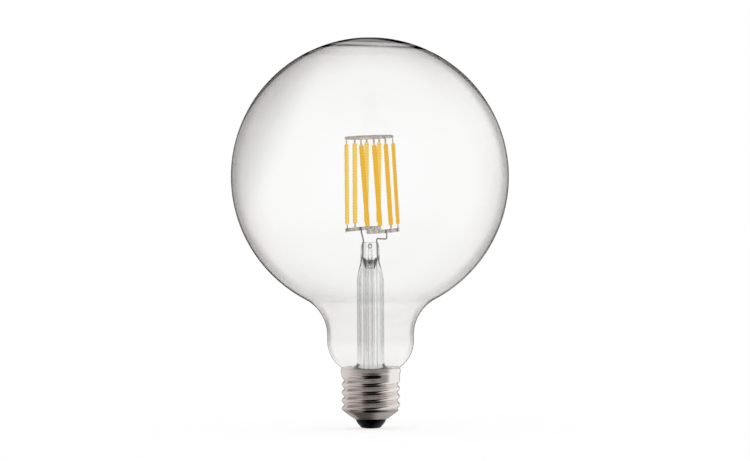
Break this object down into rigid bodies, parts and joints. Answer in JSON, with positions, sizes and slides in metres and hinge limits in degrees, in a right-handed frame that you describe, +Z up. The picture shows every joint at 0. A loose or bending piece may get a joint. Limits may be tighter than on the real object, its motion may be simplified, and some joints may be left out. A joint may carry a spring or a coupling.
{
  "type": "globe bulb",
  "caption": "Clear glass globe bulb with an upright cage of amber LED filaments on a pressed glass stem, driver in the screw cap.",
  "frame": {"origin": "middle of the centre contact's flat underside", "axes": "+Z up the axis from the cap to the crown, -Y the front of the picture"},
  "size_m": [0.125, 0.125, 0.1758],
  "materials": {
    "clear_glass": "clear blown soda-lime glass",
    "nickel_plate": "nickel plate on drawn brass sheet",
    "black_glass": "glossy black vitreous insulator",
    "tinned_brass": "tinned pressing",
    "phosphor_silicone": "satin silicone loaded with yellow phosphor",
    "nickel_strip": "bright nickel strip",
    "nickel_wire": "dull nickel wire",
    "cement": "matt basing cement",
    "circuit_board": "solder mask on glass-epoxy board",
    "moulding_compound": "matt epoxy moulding",
    "capacitor_sleeve": "shrunk plastic sleeve",
    "resistor_enamel": "baked enamel",
    "tinned_copper": "tinned copper wire"
  },
  "bodies": {
    "root": {"glass_envelope": "clear_glass", "stem_tube": "clear_glass", "exhaust_tube": "clear_glass", "left_lead_wire": "nickel_wire", "right_lead_wire": "nickel_wire", "top_ring": "nickel_strip", "front_bus": "nickel_strip", "rear_bus": "nickel_strip", "screw_shell": "nickel_plate", "cap_insulator": "black_glass", "centre_contact": "tinned_brass", "basing_cement": "cement", "driver_board": "circuit_board", "bridge_rectifier": "moulding_compound", "current_regulator": "moulding_compound", "smoothing_capacitor": "capacitor_sleeve", "fuse_resistor": "resistor_enamel", "neutral_wire": "tinned_copper", "filament_1": "phosphor_silicone", "filament_1_foot_tab": "nickel_strip", "filament_1_top_tab": "nickel_strip", "filament_2": "phosphor_silicone", "filament_2_foot_tab": "nickel_strip", "filament_2_top_tab": "nickel_strip", "filament_3": "phosphor_silicone", "filament_3_foot_tab": "nickel_strip", "filament_3_top_tab": "nickel_strip", "filament_4": "phosphor_silicone", "filament_4_foot_tab": "nickel_strip", "filament_4_top_tab": "nickel_strip", "filament_5": "phosphor_silicone", "filament_5_foot_tab": "nickel_strip", "filament_5_top_tab": "nickel_strip", "filament_6": "phosphor_silicone", "filament_6_foot_tab": "nickel_strip", "filament_6_top_tab": "nickel_strip", "filament_7": "phosphor_silicone", "filament_7_foot_tab": "nickel_strip", "filament_7_top_tab": "nickel_strip", "filament_8": "phosphor_silicone", "filament_8_foot_tab": "nickel_strip", "filament_8_top_tab": "nickel_strip"}
  },
  "joints": []
}
